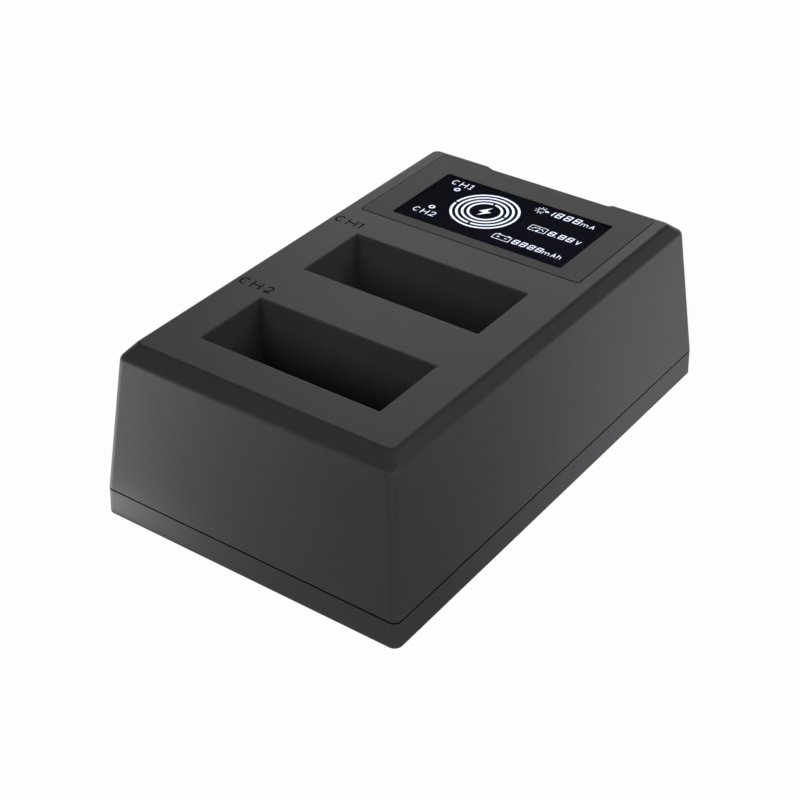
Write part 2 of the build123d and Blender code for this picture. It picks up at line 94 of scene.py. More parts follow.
class Graph:
    """A node tree that is filled one node at a time."""

    def __init__(self, tree):
        self.tree = tree
        self.tree.nodes.clear()

    def node(self, kind, settings=None, sockets=None, out=0):
        """Any node: its type, its settings, then the values or links of its sockets."""
        made = self.tree.nodes.new(kind)
        for name, value in (settings or {}).items():
            setattr(made, name, value)
        for name, value in (sockets or {}).items():
            if isinstance(value, Signal):
                self.tree.links.new(value.socket, made.inputs[name])
            else:
                made.inputs[name].default_value = value
        return Signal(self, made.outputs[out]) if len(made.outputs) else None

    def place(self):
        """Where a point lies on the object, in metres."""
        return self.node("ShaderNodeTexCoord", out="Object")

    def axis(self, letter):
        """How far a point lies along one axis of the object, in millimetres."""
        return self.node("ShaderNodeSeparateXYZ", {}, {"Vector": self.place()}, out=letter) / MM

    def noise(self, scale, detail=3.0, roughness=0.5, vector=None):
        return self.node("ShaderNodeTexNoise", {}, {
            "Vector": vector or self.place(), "Scale": scale,
            "Detail": detail, "Roughness": roughness})

    def blend(self, share, first, second):
        return self.node("ShaderNodeMix", {"data_type": "RGBA"},
                         {0: share, 6: first, 7: second}, out=2)

    def colour(self, red, green, blue):
        return self.node("ShaderNodeCombineColor", {}, {0: red, 1: green, 2: blue})

    def spread(self, signal, low, high):
        """Zero below low, one above high, even between."""
        return self.node("ShaderNodeMapRange", {"clamp": True}, {
            "Value": signal, "From Min": low, "From Max": high, "To Min": 0.0, "To Max": 1.0})

    def band(self, signal, low, high, soft):
        """One from low to high, falling to zero over a soft edge on either side."""
        return self.spread(signal, low - soft, low) * (1.0 - self.spread(signal, high, high + soft))

    def bump(self, height, strength, depth):
        return self.node("ShaderNodeBump", {}, {
            "Height": height, "Strength": strength, "Distance": depth})


def rgb(red, green, blue):
    return (red, green, blue, 1.0)


def grey(level, blue=1.0):
    return rgb(level, level, level * blue)


def finish(name, sockets):
    """A Principled material. The function given builds what changes over the surface."""
    material = bpy.data.materials.new(name)
    material.use_nodes = True
    graph = Graph(material.node_tree)
    surface = graph.node("ShaderNodeBsdfPrincipled", {}, sockets(graph))
    graph.node("ShaderNodeOutputMaterial", {}, {"Surface": surface})
    return material


# Relief of the finishes
grain_depth = 0.02 * MM
brush_depth = 0.01 * MM
track_depth = 0.03 * MM

# Painted shade in the seam above the base and in the gap round the display panel. Lengths in
# millimetres
seam_shade = grey(0.002)
gap_shade = grey(0.001)
gap_shade_roughness = 0.5
right_gap_share = 0.30       # the right gap gets less painted shade than the front one, the left one none
shade_edge = 0.03
seam_above_base = (4.9, 5.2)
gap_reach = (-0.04, 0.18)    # from just on the panel to just on the case
gap_depth, gap_foot = 1.0, 0.1
front_fade = (0.2, 1.2)      # behind the front edge of the panel
rear_fade = (-1.0, -0.8)     # before its rear edge
middle_fade = 1.0            # either side of the middle
panel_corner = 0.6


def seam_line(graph):
    """Where shade is painted: one in the seam between the case and the base, zero elsewhere."""
    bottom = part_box("base_cover")[0].z / MM
    low, high = seam_above_base
    return graph.band(graph.axis("Z"), bottom + low, bottom + high, shade_edge)


def panel_gap(graph):
    """Painted shade in the narrow gap round the display panel: full at the front, weak at the
    right.
    """
    low, high = (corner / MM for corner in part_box("display_panel"))
    middle, half = (low + high) / 2, (high - low) / 2
    x, y, z = (graph.axis(letter) for letter in "XYZ")
    past = []
    for axis, centre, reach in ((x, middle.x, half.x), (y, middle.y, half.y)):
        offset = axis - centre
        past.append((offset.most(0.0 - offset) - (reach - panel_corner)).most(0.0))
    beyond = (past[0] * past[0] + past[1] * past[1]) ** 0.5 - panel_corner
    ring = graph.band(beyond, gap_reach[0], gap_reach[1], shade_edge)
    sides = right_gap_share * graph.spread(x, -middle_fade, middle_fade)
    behind = graph.spread(y, low.y + front_fade[0], low.y + front_fade[1])
    rear = graph.spread(y, high.y + rear_fade[0], high.y + rear_fade[1])
    near_top = graph.spread(z, high.z - gap_depth, high.z - gap_depth + gap_foot)
    return ring * ((1.0 - (1.0 - sides) * behind) * (1.0 - rear)) * near_top


def moulded(name, dark, light, roughness, grain, scale=2600.0, blue=1.02, gloss=0.5,
            seam=None, gap=None):
    """Satin moulded plastic: slow tint drift, fine spark-eroded grain, faint rub marks and
    painted shade where a seam or a gap is given."""
    def sockets(graph):
        drift = graph.noise(55.0, 2.0)
        speck = graph.noise(scale, 2.0, 0.6)
        rub = graph.noise(320.0, 4.0, 0.7)
        tint = graph.spread(drift * 0.6 + speck * 0.4, 0.35, 0.65)
        colour = graph.blend(tint, grey(dark, blue), grey(light, blue))
        wear = roughness + (speck - 0.5) * 0.10 + (rub - 0.5) * 0.06 + (drift - 0.5) * 0.05
        # painted shade: the colour is darkened in the seam between the case and the base
        if seam:
            colour = graph.blend(seam(graph), colour, seam_shade)
        # painted shade: the colour is darkened in the gap round the display panel, which is also
        # made rougher
        if gap:
            painted_gap_shade = gap(graph)
            colour = graph.blend(painted_gap_shade, colour, gap_shade)
            wear = wear + painted_gap_shade * gap_shade_roughness
        return {
            "Base Color": colour,
            "Roughness": wear,
            "IOR": 1.5,
            "Specular IOR Level": gloss,
            "Normal": graph.bump(speck + rub * 0.4, grain, grain_depth),
        }
    return finish(name, sockets)


def metal(name, dark, light, roughness, brushed):
    """Plated or bare metal with drawn marks along one way and slight tarnish."""
    def sockets(graph):
        stretched = graph.node("ShaderNodeMapping", {}, {"Vector": graph.place(), "Scale": brushed})
        drawn = graph.noise(900.0, 4.0, 0.6, stretched)
        tarnish = graph.noise(260.0, 3.0)
        return {
            "Base Color": graph.blend(graph.spread(tarnish, 0.35, 0.7), dark, light),
            "Metallic": 1.0,
            "Roughness": roughness + (drawn - 0.5) * 0.18 + (tarnish - 0.5) * 0.08,
            "Normal": graph.bump(drawn, 0.12, brush_depth),
        }
    return finish(name, sockets)


def laminate(name):
    """Circuit board: green mask with tracks that show as lighter bands, and a fine weave."""
    ground, copper = rgb(0.010, 0.060, 0.030), rgb(0.022, 0.110, 0.050)

    def sockets(graph):
        weave = graph.noise(3200.0, 2.0)
        track = graph.node("ShaderNodeTexBrick", {"offset": 0.5}, {
            "Vector": graph.place(), "Scale": 260.0, "Mortar Size": 0.06,
            "Color1": grey(1.0), "Color2": grey(1.0), "Mortar": grey(0.0)}, out=1)
        lighter = graph.spread(track * 0.8 + weave * 0.2, 0.2, 1.0)
        return {
            "Base Color": graph.blend(lighter, ground, copper),
            "Roughness": 0.34 + (weave - 0.5) * 0.2,
            "Normal": graph.bump(track + weave * 0.2, 0.2, track_depth),
        }
    return finish(name, sockets)


def clear_acrylic():
    """Display lens: clear, hard and smooth, with hardly visible wipe marks."""
    def sockets(graph):
        wipe = graph.noise(140.0, 5.0, 0.7)
        return {
            "Base Color": grey(1.0),
            "Transmission Weight": 1.0,
            "IOR": 1.49,
            "Roughness": 0.004 + wipe * 0.008,
        }
    return finish("clear_acrylic", sockets)


def lens_black():
    """Ink behind the lens: near black, with a faint blue glow that leaks through it."""
    def sockets(graph):
        leak = graph.noise(90.0, 3.0)
        fleck = graph.noise(5000.0, 1.0)
        return {
            "Base Color": graph.blend(leak, rgb(0.004, 0.004, 0.006), rgb(0.006, 0.006, 0.010)),
            "Roughness": 0.5 + (fleck - 0.5) * 0.2,
            "Specular IOR Level": 0.0,
            "Emission Color": graph.blend(leak, rgb(0.0022, 0.0022, 0.0036),
                                          rgb(0.0034, 0.0034, 0.0062)),
            "Emission Strength": 1.0,
        }
    return finish("lens_black", sockets)


def lit_white():
    """Lit readout segments: even cool white, a little weaker in patches."""
    def sockets(graph):
        patch = graph.noise(420.0, 2.0)
        return {
            "Base Color": graph.blend(patch, rgb(0.16, 0.17, 0.20), rgb(0.20, 0.21, 0.24)),
            "Roughness": 0.6 + (patch - 0.5) * 0.2,
            "Emission Color": graph.blend(patch, rgb(0.73, 0.79, 1.0), rgb(0.84, 0.89, 1.0)),
            "Emission Strength": 1.25,
        }
    return finish("lit_white", sockets)


def small_part(name, first, second, roughness):
    """Small hidden mouldings, resin and rubber: two close tones with a fine grain."""
    def sockets(graph):
        speck = graph.noise(1800.0, 3.0)
        return {
            "Base Color": graph.blend(graph.spread(speck, 0.3, 0.7), first, second),
            "Roughness": roughness + (speck - 0.5) * 0.16,
            "Normal": graph.bump(speck, 0.15, grain_depth),
        }
    return finish(name, sockets)


# The case, base and panel carry painted shade in the seam above the base and in the gap round the
# panel.
case_plastic = moulded("case_plastic", 0.0215, 0.0250, 0.41, 0.10, seam=seam_line, gap=panel_gap)
base_plastic = moulded("base_plastic", 0.0215, 0.0250, 0.42, 0.11, gloss=0.40, seam=seam_line)
panel_plastic = moulded("panel_plastic", 0.0200, 0.0230, 0.49, 0.08, 3000.0, gap=panel_gap)
block_plastic = moulded("block_plastic", 0.010, 0.014, 0.50, 0.10)
mark_ink = moulded("mark_ink", 0.0010, 0.0018, 0.75, 0.05, 4000.0, 1.0, gloss=0.03)
brass = metal("contact_brass", rgb(0.72, 0.50, 0.18), rgb(0.86, 0.64, 0.27), 0.28,
              (1.0, 0.1, 1.0))
steel = metal("usb_steel", rgb(0.48, 0.48, 0.49), rgb(0.64, 0.64, 0.65), 0.30, (0.1, 1.0, 1.0))
screw_black = metal("screw_steel", rgb(0.10, 0.10, 0.105), rgb(0.17, 0.17, 0.175), 0.36,
                    (1.0, 1.0, 0.1))
can_metal = metal("capacitor_can", rgb(0.60, 0.61, 0.63), rgb(0.74, 0.75, 0.77), 0.34,
                  (1.0, 1.0, 0.05))
chip_resin = small_part("chip_resin", rgb(0.014, 0.014, 0.015), rgb(0.022, 0.022, 0.023), 0.55)
acrylic = clear_acrylic()
lens_ink = lens_black()
segment_white = lit_white()

dressing = {
    "upper_shell": case_plastic,
    "base_cover": base_plastic,
    "display_panel": panel_plastic,
    "display_window": acrylic,
    "lcd_cell": small_part("lcd_glass", rgb(0.010, 0.011, 0.014), rgb(0.016, 0.017, 0.022), 0.12),
    "lcd_backlight": small_part("light_guide", rgb(0.70, 0.71, 0.70), rgb(0.80, 0.80, 0.79), 0.30),
    "backlight_leds": small_part("led_resin", rgb(0.74, 0.66, 0.30), rgb(0.82, 0.75, 0.40), 0.35),
    "lcd_strip": small_part("strip_rubber", rgb(0.20, 0.19, 0.18), rgb(0.28, 0.27, 0.26), 0.70),
    "lcd_frame": small_part("frame_plastic", rgb(0.55, 0.55, 0.53), rgb(0.63, 0.63, 0.61), 0.45),
    "display_board": laminate("display_laminate"),
    "main_board": laminate("board_laminate"),
    "display_chip": chip_resin,
    "control_chip": chip_resin,
    "charge_chips": chip_resin,
    "ribbon_sockets": small_part("socket_plastic", rgb(0.66, 0.64, 0.58), rgb(0.74, 0.72, 0.66),
                                 0.45),
    "ribbon_cable": small_part("ribbon_film", rgb(0.62, 0.63, 0.64), rgb(0.72, 0.73, 0.74), 0.35),
    "power_inductors": small_part("inductor_ferrite", rgb(0.045, 0.045, 0.047),
                                  rgb(0.070, 0.070, 0.072), 0.65),
    "bulk_capacitors": can_metal,
    "usb_shell": steel,
    "usb_tongue": small_part("tongue_plastic", rgb(0.010, 0.010, 0.011), rgb(0.018, 0.018, 0.019),
                             0.45),
    "ch1_contact_block": block_plastic,
    "ch2_contact_block": block_plastic,
    "ch1_contacts": brass,
    "ch2_contacts": brass,
    "board_screws": screw_black,
    "display_screws": screw_black,
    "base_screws": screw_black,
}
for name, material in dressing.items():
    mesh = nodes[name].data
    mesh.materials.clear()
    mesh.materials.append(material)


def make_object(name, mesh, material):
    """An object in the scene, of a finished bmesh in one material."""
    data = bpy.data.meshes.new(name)
    mesh.to_mesh(data)
    mesh.free()
    data.materials.append(material)
    made = bpy.data.objects.new(name, data)
    scene.collection.objects.link(made)
    return made


def add_piece(name, mesh, material):
    """A piece of the charger, tied to the body and to its material slot."""
    bmesh.ops.recalc_face_normals(mesh, faces=mesh.faces[:])
    piece = make_object(name, mesh, material)
    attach(piece, "root")
    return piece


def close_loops(mesh, loops):
    """Walls between loops of points, with a lid on the first loop and on the last."""
    for lower, upper in zip(loops, loops[1:]):
        for i in range(len(lower)):
            j = (i + 1) % len(lower)
            mesh.faces.new((lower[i], lower[j], upper[j], upper[i]))
    mesh.faces.new(loops[0][::-1])
    mesh.faces.new(loops[-1])


corner_signs = ((1, 1), (-1, 1), (-1, -1), (1, -1))


def ray_points(centre, angle, near, far):
    """The two ends of a short line that points away from a centre. Each reach is wide and high."""
    a = radians(angle)
    return [(centre[0] + w * cos(a), centre[1] + h * sin(a)) for w, h in (near, far)]


def bow(centre, half_w, half_h, start, end, steps):
    """Points along part of an ellipse."""
    turns = [radians(start + (end - start) * i / steps) for i in range(steps + 1)]
    return [(centre[0] + half_w * cos(a), centre[1] + half_h * sin(a)) for a in turns]


class Marks:
    """Flat marks of lines and outlines, raised into thin solids of one mesh. Millimetres."""

    def __init__(self, low, high, shift=(0.0, 0.0)):
        self.mesh = bmesh.new()
        self.low = low
        self.high = high
        self.shift = shift

    def ring(self, points, z):
        dx, dy = self.shift
        return [self.mesh.verts.new(((x + dx) * MM, (y + dy) * MM, z * MM)) for x, y in points]

    def fill(self, points):
        """A solid patch inside an outline."""
        close_loops(self.mesh, [self.ring(points, self.low), self.ring(points, self.high)])

    def line(self, points, width, closed=False):
        """A stroke along points, with mitred bends."""
        count = len(points)
        left, right = [], []
        for i, here in enumerate(points):
            before = points[i - 1] if i or closed else None
            after = points[(i + 1) % count] if i + 1 < count or closed else None
            ways = []
            for a, b in ((before, here), (here, after)):
                if a is not None and b is not None:
                    reach = hypot(b[0] - a[0], b[1] - a[1])
                    ways.append(((b[0] - a[0]) / reach, (b[1] - a[1]) / reach))
            nx = -sum(w[1] for w in ways)
            ny = sum(w[0] for w in ways)
            size = hypot(nx, ny)
            mitre = width / 2 * (2 / size if len(ways) == 2 else 1) / size
            left.append((here[0] + nx * mitre, here[1] + ny * mitre))
            right.append((here[0] - nx * mitre, here[1] - ny * mitre))
        if not closed:
            self.fill(left[::-1] + right)
            return
        loops = [self.ring(side, z) for z in (self.low, self.high) for side in (left, right)]
        low_left, low_right, high_left, high_right = loops
        for i in range(count):
            j = (i + 1) % count
            self.mesh.faces.new((high_left[i], high_right[i], high_right[j], high_left[j]))
            self.mesh.faces.new((low_left[j], low_right[j], low_right[i], low_left[i]))
            self.mesh.faces.new((low_right[i], low_right[j], high_right[j], high_right[i]))
            self.mesh.faces.new((low_left[j], low_left[i], high_left[i], high_left[j]))

    def arc(self, centre, radius, width, start, end, steps):
        """A stroke along part of a circle, or round the whole of it."""
        points = bow(centre, radius, radius, start, end, steps)
        closed = abs(end - start) >= 360
        if closed:
            points.pop()
        self.line(points, width, closed)


def write_letter(marks, letter, x, y, w, h, stroke):
    """One plain letter or numeral, drawn with lines in a box of width w and height h."""
    s = stroke / 2
    if letter == "C":
        marks.line(bow((x + w / 2, y + h / 2), w / 2 - s, h / 2 - s, 43, 317, 20), stroke)
    if letter == "H":
        marks.line([(x + s, y), (x + s, y + h)], stroke)
        marks.line([(x + w - s, y), (x + w - s, y + h)], stroke)
        marks.line([(x + stroke, y + h / 2), (x + w - stroke, y + h / 2)], stroke)
    if letter == "1":
        marks.line([(x, y + h * 0.80), (x + w - s, y + h - s), (x + w - s, y)], stroke)
    if letter == "2":
        top = bow((x + w / 2, y + h - w / 2), w / 2 - s, w / 2 - s, 165, -35, 12)
        marks.line(top + [(x + s * 1.6, y + s), (x + w, y + s)], stroke)
    if letter == "V":
        marks.line([(x + s, y + h), (x + w / 2, y + s), (x + w - s, y + h)], stroke)
    if letter == "A":
        marks.line([(x + s, y), (x + w / 2, y + h - s), (x + w - s, y)], stroke)
        marks.line([(x + w * 0.30, y + h * 0.30), (x + w * 0.70, y + h * 0.30)], stroke * 0.8)
    if letter == "m":
        r = (w - stroke) / 4
        marks.line([(x + s, y), (x + s, y + h)], stroke)
        for i in (0, 1):
            c = x + s + r * (2 * i + 1)
            marks.line(bow((c, y + h - s - r), r, r, 165, 0, 8) + [(c + r, y)], stroke)
    if letter == "h":
        r = (w - stroke) / 2
        c = x + s + r
        marks.line([(x + s, y), (x + s, y + h * 1.35)], stroke)
        marks.line(bow((c, y + h - s - r), r, r, 165, 0, 8) + [(c + r, y)], stroke)


def write_digit(marks, x, y, w, h, t, lit_bars="abcdefg", slant=0.07):
    """A seven-bar numeral, slightly slanted, whose bars of thickness t meet in mitred ends."""
    g = 0.045    # hairline between the bars
    mid = y + h / 2
    bars = {
        "a": [(x + g, y + h), (x + t + g, y + h - t), (x + w - t - g, y + h - t),
              (x + w - g, y + h)],
        "d": [(x + t + g, y + t), (x + g, y), (x + w - g, y), (x + w - t - g, y + t)],
        "g": [(x + t * 0.55, mid), (x + t + g, mid - t / 2), (x + w - t - g, mid - t / 2),
              (x + w - t * 0.55, mid), (x + w - t - g, mid + t / 2), (x + t + g, mid + t / 2)],
        "f": [(x, y + h - g), (x, mid + g), (x + t * 0.5, mid + g), (x + t, mid + t / 2 + g),
              (x + t, y + h - t - g)],
        "e": [(x, mid - g), (x, y + g), (x + t, y + t + g), (x + t, mid - t / 2 - g),
              (x + t * 0.5, mid - g)],
    }
    for bar, twin in (("f", "b"), ("e", "c")):
        bars[twin] = [(2 * x + w - px, py) for px, py in bars[bar]][::-1]
    for bar in lit_bars:
        marks.fill([(px + (py - y) * slant, py) for px, py in bars[bar]])


# Channel marks printed on the case beside each bay
mark_h, mark_stroke = 2.05, 0.27
print_sunk, print_raised = 0.02, 0.012
print_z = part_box("upper_shell")[1].z / MM
case_marks = Marks(print_z - print_sunk, print_z + print_raised)
for numeral, baseline, numeral_x, numeral_w in (("1", 8.48, -19.25, 0.62),
                                                ("2", -18.12, -18.80, 1.35)):
    for letter, x, w in (("C", -24.29, 1.80), ("H", -21.76, 1.98), (numeral, numeral_x, numeral_w)):
        write_letter(case_marks, letter, x, baseline, w, mark_h, mark_stroke)
add_piece("channel_marks", case_marks.mesh, mark_ink)


def slab(outline_w, outline_l, centre_y, corner, low, high, edge, steps=5):
    """Rounded plate with a softened upper edge. Millimetres."""
    mesh = bmesh.new()

    def loop(inset, z):
        points = []
        for k, (sx, sy) in enumerate(corner_signs):
            cx = sx * (outline_w / 2 - corner)
            cy = centre_y + sy * (outline_l / 2 - corner)
            r = corner - inset
            points += [mesh.verts.new(Vector((x, y, z)) * MM)
                       for x, y in bow((cx, cy), r, r, 90 * k, 90 * k + 90, steps)]
        return points

    close_loops(mesh, [loop(0.0, low), loop(0.0, high - edge),
                       loop(edge * 0.3, high - edge * 0.3), loop(edge, high)])
    return mesh


# Lens with a softened edge, and inside it the black ink of its back and sides
lens_corner, lens_edge = 0.3, 0.08
lens_low, lens_high = (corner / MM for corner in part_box("display_window"))
lens_w, lens_l = lens_high.x - lens_low.x, lens_high.y - lens_low.y
lens_y = (lens_high.y + lens_low.y) / 2
lens_back, lens_face = lens_low.z, lens_high.z
lens_plate = slab(lens_w, lens_l, lens_y, lens_corner, lens_back, lens_face, lens_edge)
lens = add_piece("lens", lens_plate, acrylic)
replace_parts(lens, "display_window")

ink_outside, ink_inside = 0.03, 0.06
ink_bottom = lens_back + 0.02
ink_face = lens_back + 0.06
ink_rim = lens_face - 0.12
ink = bmesh.new()
ink_loops = []
for inset, z in ((ink_outside, ink_bottom), (ink_outside, ink_rim),
                 (ink_inside, ink_rim), (ink_inside, ink_face)):
    half_w, half_l = lens_w / 2 - inset, lens_l / 2 - inset
    ink_loops.append([ink.verts.new(Vector((sx * half_w, lens_y + sy * half_l, z)) * MM)
                      for sx, sy in corner_signs])
close_loops(ink, ink_loops)
add_piece("lens_ink", ink, lens_ink)

# Lit readout on the ink, shifted a little so that it lies right when seen through the lens
segment_sunk, segment_raised = 0.01, 0.012
lens_shift = (-0.35, 0.57)
readout = Marks(ink_face - segment_sunk, ink_face + segment_raised, lens_shift)

# Four open rings round a bolt
ring_centre = (-4.03, 26.95)
ring_outer, ring_pitch, ring_stroke, ring_half_gap = 6.185, 1.033, 0.46, 0.24
for i, gap_at in enumerate((180, 270, 360, 450)):
    radius = ring_outer - ring_pitch * i
    half_gap = degrees(ring_half_gap / radius)
    readout.arc(ring_centre, radius, ring_stroke, gap_at + half_gap, gap_at + 360 - half_gap, 96)
readout.fill([(-3.48, 28.82), (-5.08, 26.60), (-4.08, 26.60),
              (-4.56, 25.02), (-2.82, 27.14), (-3.80, 27.20)])

# Channel labels, each with a small circle
label_stroke, foot_stroke = 0.19, 0.16
upper_label, upper_h = 32.40, 1.76
lower_label, lower_h = 19.85, 1.64
write_letter(readout, "C", -15.21, upper_label, 1.24, upper_h, label_stroke)
write_letter(readout, "H", -13.41, upper_label, 1.39, upper_h, label_stroke)
readout.line([(-11.48, 33.84), (-11.06, 34.12), (-11.06, upper_label)], label_stroke)
readout.line([(-11.50, 32.47), (-10.70, 32.47)], foot_stroke)
write_letter(readout, "C", -15.26, lower_label, 1.19, lower_h, label_stroke)
write_letter(readout, "H", -13.53, lower_label, 1.36, lower_h, label_stroke)
write_letter(readout, "2", -11.75, lower_label, 1.12, lower_h, label_stroke)
for dot_y in (31.05, 22.87):
    readout.arc((-12.80, dot_y), 0.47, 0.30, 0, 360, 28)

# Lamp sign, then the current
sign_centre = (4.10, 33.17)
sign_stroke = 0.15
current_line = 32.36
readout.arc(sign_centre, 0.66, sign_stroke, 22, 338, 28)
for angle in (68, 103, 140, 176, 214, 257, 293):
    readout.line(ray_points(sign_centre, angle, (0.94, 0.94), (1.26, 1.26)), sign_stroke)
readout.fill([(sign_centre[0] + dx, sign_centre[1] + dy) for dx, dy in
              ((0.80, -0.17), (1.22, -0.20), (1.58, 0.12), (1.22, 0.40), (0.80, 0.36))])
write_digit(readout, 5.42, current_line, 1.20, 1.80, 0.28, "bc", 0.08)
for i in range(3):
    write_digit(readout, 7.13 + 1.865 * i, current_line - 0.01, 1.24, 1.90, 0.26)
write_letter(readout, "m", 12.54, current_line, 1.42, 0.94, 0.14)
write_letter(readout, "A", 14.33, current_line, 0.92, 1.20, 0.16)

# Gauge sign, then the voltage
gauge_centre = (7.24, 25.95)
gauge_stroke, tick_stroke = 0.13, 0.12
voltage_line = 26.00
readout.line([(5.66, 25.98), (8.82, 25.98), (8.91, 26.08), (8.91, 27.70),
              (8.82, 27.80), (5.66, 27.80), (5.57, 27.70), (5.57, 26.08)], gauge_stroke, True)
readout.line(bow(gauge_centre, 1.40, 1.26, 150, 30, 12), gauge_stroke)
for angle in (60, 90, 120):
    readout.line(ray_points(gauge_centre, angle, (1.46, 1.32), (1.66, 1.56)), tick_stroke)
readout.fill([(7.00, 26.02), (7.48, 26.02), (7.62, 26.92)])
for digit_x in (9.52, 11.60, 13.24):
    write_digit(readout, digit_x, voltage_line, 1.18, 1.62, 0.24)
readout.fill([(11.00, 26.00), (11.22, 26.00), (11.22, 26.24), (11.00, 26.24)])
write_letter(readout, "V", 15.06, voltage_line + 0.02, 0.95, 1.32, 0.17)

# Battery sign, then the charge
battery_stroke = 0.14
charge_line = 19.82
readout.line([(1.97, 19.74), (5.31, 19.74), (5.31, 21.34), (1.97, 21.34)], battery_stroke, True)
for pole_x in (2.36, 4.36):
    readout.fill([(pole_x, 21.45), (pole_x + 0.58, 21.45),
                  (pole_x + 0.58, 21.66), (pole_x, 21.66)])
for ends in (((2.60, 20.57), (3.16, 20.57)), ((2.88, 20.30), (2.88, 20.84)),
             ((4.14, 20.57), (4.66, 20.57))):
    readout.line(ends, battery_stroke)
for i in range(4):
    write_digit(readout, 5.91 + 1.603 * i, charge_line, 1.15, 1.60, 0.24)
write_letter(readout, "m", 12.18, charge_line, 1.40, 0.90, 0.14)
write_letter(readout, "A", 13.95, charge_line, 0.87, 1.26, 0.16)
write_letter(readout, "h", 15.10, charge_line, 0.76, 0.96, 0.14)
add_piece("readout", readout.mesh, segment_white)

# Base screws with a rounded head, a cross recess and a blunt end
screw_low, screw_high = (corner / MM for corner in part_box("base_screws"))
bottom, tip = screw_low.z, screw_high.z
head_r, shank_r, seat = 2.2, 1.1, bottom + 1.5
arm, half_arm = 1.30, 0.30
recess_depth, recess_floor = 0.80, 0.62
quarter = (0, 7, 13, 18, 24, 31, 38, 45, 52, 59, 66, 72, 77, 83)
turns = [radians(90 * k + angle) for k in range(4) for angle in quarter]


def cross(turn, size):
    """Distance from the middle to the edge of the cross recess."""
    c, s = max(abs(cos(turn)), 1e-6), max(abs(sin(turn)), 1e-6)
    return size * max(min(arm / c, half_arm / s), min(half_arm / c, arm / s))


screw_profile = [([cross(t, size) for t in turns], z)
                 for size, z in ((recess_floor, bottom + recess_depth), (1.0, bottom))]
screw_profile += [([radius] * len(turns), z) for radius, z in (
    (1.72, bottom), (1.96, bottom + 0.06), (2.12, bottom + 0.20), (head_r, bottom + 0.42),
    (head_r, seat), (shank_r, seat), (shank_r, tip - 0.4), (0.75, tip))]
screws = bmesh.new()
for sx in (-1, 1):
    for sy in (-1, 1):
        cx, cy = sx * (screw_high.x - head_r), sy * (screw_high.y - head_r)
        close_loops(screws, [
            [screws.verts.new(Vector((cx + r * cos(t), cy + r * sin(t), z)) * MM)
             for t, r in zip(turns, radii)] for radii, z in screw_profile])
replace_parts(add_piece("cross_screws", screws, screw_black), "base_screws")

# Contact pads on both faces of the tongue in the power inlet
tongue_low, tongue_high = (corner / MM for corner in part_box("usb_tongue"))
tongue_z = (tongue_low.z + tongue_high.z) / 2
tongue_end = tongue_high.y
pad_count, pad_pitch, pad_half, pad_nose = 12, 0.5, 0.14, 0.06
pad_long, pad_short = 3.3, 3.0
long_pads = (0, 3, 8, 11)
pad_inner, pad_outer = 0.34, 0.375
shoulder, nose = tongue_end - 0.35, tongue_end - 0.25
pads = Marks(tongue_z + pad_inner, tongue_z + pad_outer)
for low, high in ((pad_inner, pad_outer), (-pad_outer, -pad_inner)):
    pads.low, pads.high = tongue_z + low, tongue_z + high
    for i in range(pad_count):
        x = pad_pitch * (i - (pad_count - 1) / 2)
        root = tongue_end - (pad_long if i in long_pads else pad_short)
        pads.fill([(x - pad_half, root), (x + pad_half, root), (x + pad_half, shoulder),
                   (x + pad_nose, nose), (x - pad_nose, nose), (x - pad_half, shoulder)])
add_piece("inlet_pads", pads.mesh, brass)

# Camera, matched to the corners and edges of the object
azimuth, elevation, roll = radians(35.393), radians(34.377), radians(0.106)
distance, aside, above = 311.716, -2.858, 6.578
focal_pixels, picture_pixels, sensor = 1744.16, 800, 36.0
back = Vector((sin(azimuth) * cos(elevation), -cos(azimuth) * cos(elevation), sin(elevation)))
right = Vector((cos(azimuth), sin(azimuth), 0.0))
up = back.cross(right)
right, up = right * cos(roll) + up * sin(roll), up * cos(roll) - right * sin(roll)
eye = (back * distance + right * aside + up * above) * MM
camera = bpy.data.objects.new("camera", bpy.data.cameras.new("camera"))
camera.data.sensor_width = sensor
camera.data.lens = focal_pixels / picture_pixels * sensor
camera.data.clip_start = 0.01
camera.data.clip_end = 50.0
camera.matrix_world = Matrix.Translation(eye) @ Matrix((right, up, back)).transposed().to_4x4()
scene.collection.objects.link(camera)
scene.camera = camera


def rays(graph, kind):
    """One for rays of a kind, zero for the others."""
    return graph.node("ShaderNodeLightPath", out="Is " + kind + " Ray")


# Pale floor, white where it is looked at, that keeps a soft shadow
floor_reach = 3.0
floor_drop = 0.03
floor_white_share = 0.97
paper = bpy.data.materials.new("floor_paper")
paper.use_nodes = True
graph = Graph(paper.node_tree)
dull = graph.node("ShaderNodeBsdfPrincipled", {}, {
    "Base Color": graph.blend(graph.noise(900.0, 3.0), grey(0.86), grey(0.90)),
    "Roughness": 0.9, "Specular IOR Level": 0.0})
white = graph.node("ShaderNodeEmission", {}, {"Color": grey(1.0), "Strength": 1.0})
looked_at = rays(graph, "Camera").most(rays(graph, "Glossy")).most(rays(graph, "Transmission"))
shown = graph.node("ShaderNodeMixShader", {}, {
    0: looked_at * floor_white_share, 1: dull, 2: white})
graph.node("ShaderNodeOutputMaterial", {}, {"Surface": shown})
floor_mesh = bmesh.new()
bmesh.ops.create_grid(floor_mesh, x_segments=8, y_segments=8, size=floor_reach)
floor = make_object("floor", floor_mesh, paper)
floor.location.z = -floor_drop * MM

